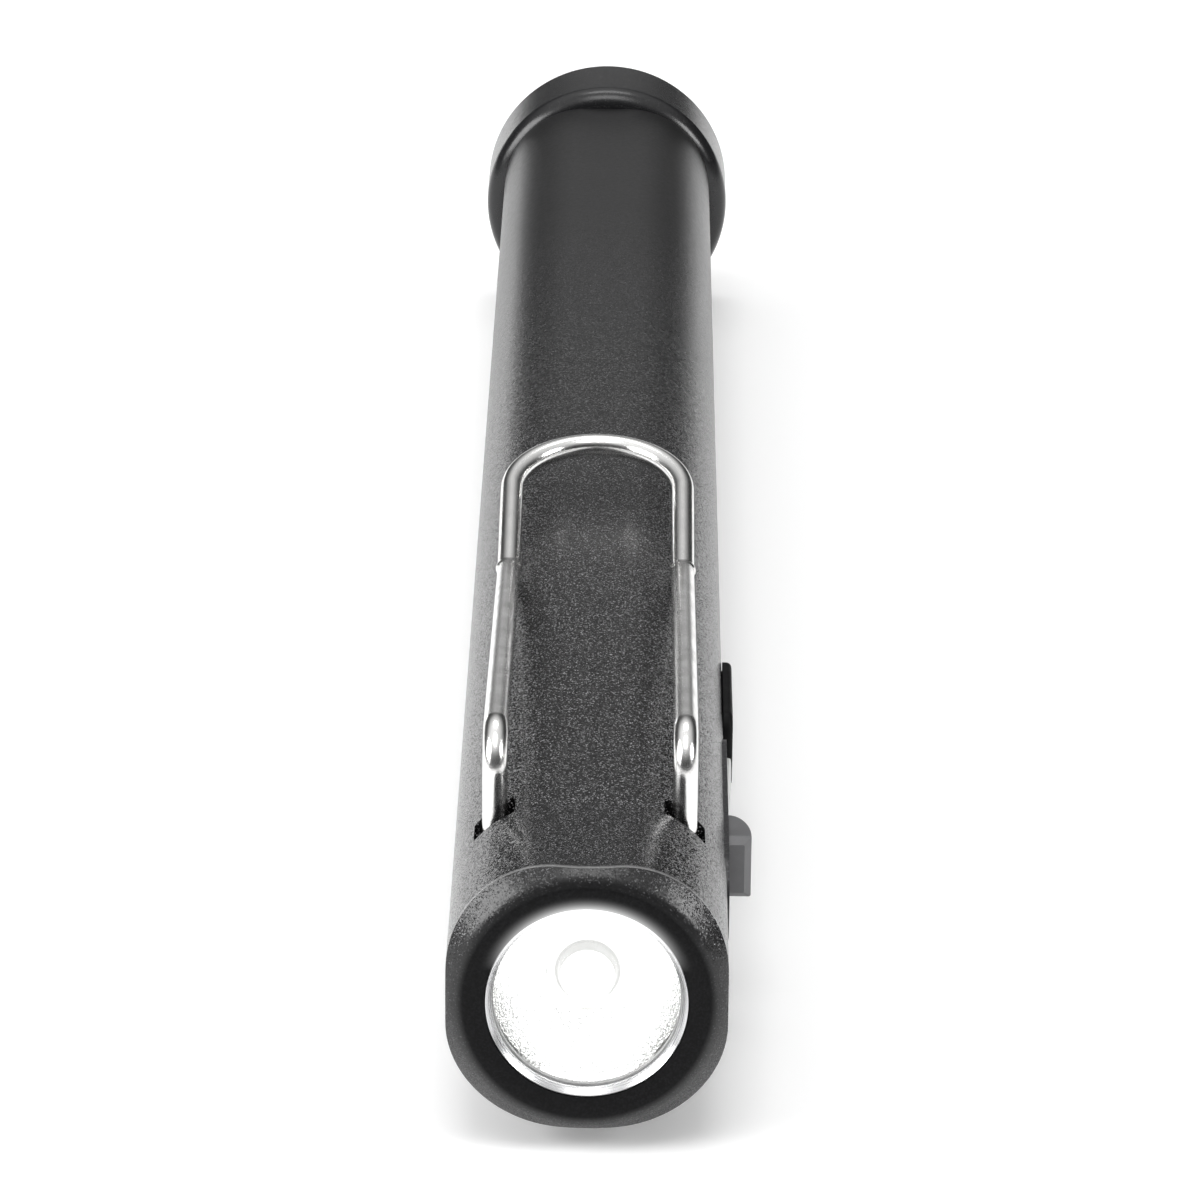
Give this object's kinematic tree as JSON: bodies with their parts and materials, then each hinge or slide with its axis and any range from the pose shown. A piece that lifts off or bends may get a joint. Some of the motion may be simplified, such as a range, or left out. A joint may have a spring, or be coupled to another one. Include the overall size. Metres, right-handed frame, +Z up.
{
  "type": "penlight",
  "caption": "Slim rechargeable penlight with a rounded-square black barrel, a bent wire pocket clip, a side button, a covered charging port and a flared screw tail.",
  "frame": {"origin": "centre of the flat tail face", "axes": "+Y along the barrel, out of the tail; the light shines along -Y; +Z up through the clip; +X through the switch"},
  "size_m": [0.0165, 0.1414, 0.0187],
  "materials": {
    "anodised_body": "bead-blasted, black anodised",
    "anodised_plate": "satin black anodised",
    "bare_ring": "turned, satin",
    "black_rubber": "satin",
    "window_glass": "polished",
    "bright_reflector": "metallised orange peel",
    "white_plastic": "moulded",
    "lit_emitter": "clear dome over a lit emitter",
    "bare_aluminium": "turned",
    "lead_jacket": "extruded",
    "plated_wire": "drawn, bright nickel plated",
    "grey_button": "moulded, satin",
    "black_plastic": "moulded",
    "spring_steel": "drawn and plated",
    "green_board": "solder mask",
    "carrier_plastic": "moulded, natural",
    "frosted_lens": "frosted clear",
    "diode_plastic": "clear",
    "socket_steel": "stamped and plated",
    "contact_brass": "turned",
    "cell_can": "drawn can",
    "cell_wrap": "shrunk wrap",
    "washer_paper": "pressed"
  },
  "bodies": {
    "light": {"head_shell": "anodised_body", "barrel": "anodised_body", "switch_plate": "anodised_plate", "lens_ring": "bare_ring", "lens_gasket": "black_rubber", "cover_strap": "black_rubber", "lens": "window_glass", "reflector": "bright_reflector", "led_spacer": "white_plastic", "led_emitter": "lit_emitter", "led_board": "bare_aluminium", "heat_sink": "bare_aluminium", "led_leads": "lead_jacket", "tact_switch": "black_plastic", "usb_tongue": "black_plastic", "board_parts": "black_plastic", "snap_dome": "spring_steel", "battery_cap": "spring_steel", "control_board": "green_board", "board_carrier": "carrier_plastic", "indicator_lens": "frosted_lens", "charge_led": "diode_plastic", "usb_shell": "socket_steel", "positive_contact": "contact_brass", "battery_cell": "cell_can", "battery_sleeve": "cell_wrap", "battery_washer": "washer_paper"},
    "clip": {"clip_wire": "plated_wire"},
    "button": {"switch_button": "grey_button", "switch_plunger": "white_plastic"},
    "cover": {"port_cover": "black_rubber"},
    "tail_slide": {"tail_seal": "black_rubber"},
    "tail": {"tail_cap": "anodised_body", "tail_spring": "spring_steel", "tail_contact": "contact_brass"}
  },
  "joints": [
    {"name": "clip_flex", "type": "hinge", "parent": "light", "child": "clip", "pos_m": [0, -0.131, 0.00404], "axis": [1, 0, 0], "range_deg": [0, 8], "stiffness_Nm_per_rad": 0.6, "springref_deg": -2.86},
    {"name": "button_press", "type": "slide", "parent": "light", "child": "button", "axis": [-1, 0, 0], "range_m": [0, 0.00035], "stiffness_N_per_m": 2000, "springref_m": -0.0003},
    {"name": "cover_swing", "type": "hinge", "parent": "light", "child": "cover", "pos_m": [0.00708, -0.0988, 0], "axis": [0, 0, 1], "range_deg": [0, 105], "stiffness_Nm_per_rad": 0.001},
    {"name": "tail_unscrew", "type": "hinge", "parent": "tail_slide", "child": "tail", "pos_m": [0, 0, 0], "axis": [0, 1, 0], "range_deg": [0, 2162]},
    {"name": "tail_travel", "type": "slide", "parent": "light", "child": "tail_slide", "axis": [0, 1, 0], "range_m": [0, 0.006]}
  ],
  "couplings": [
    {"joint": "tail_unscrew", "follows": "tail_travel", "rad_per_m": 6283.2}
  ]
}
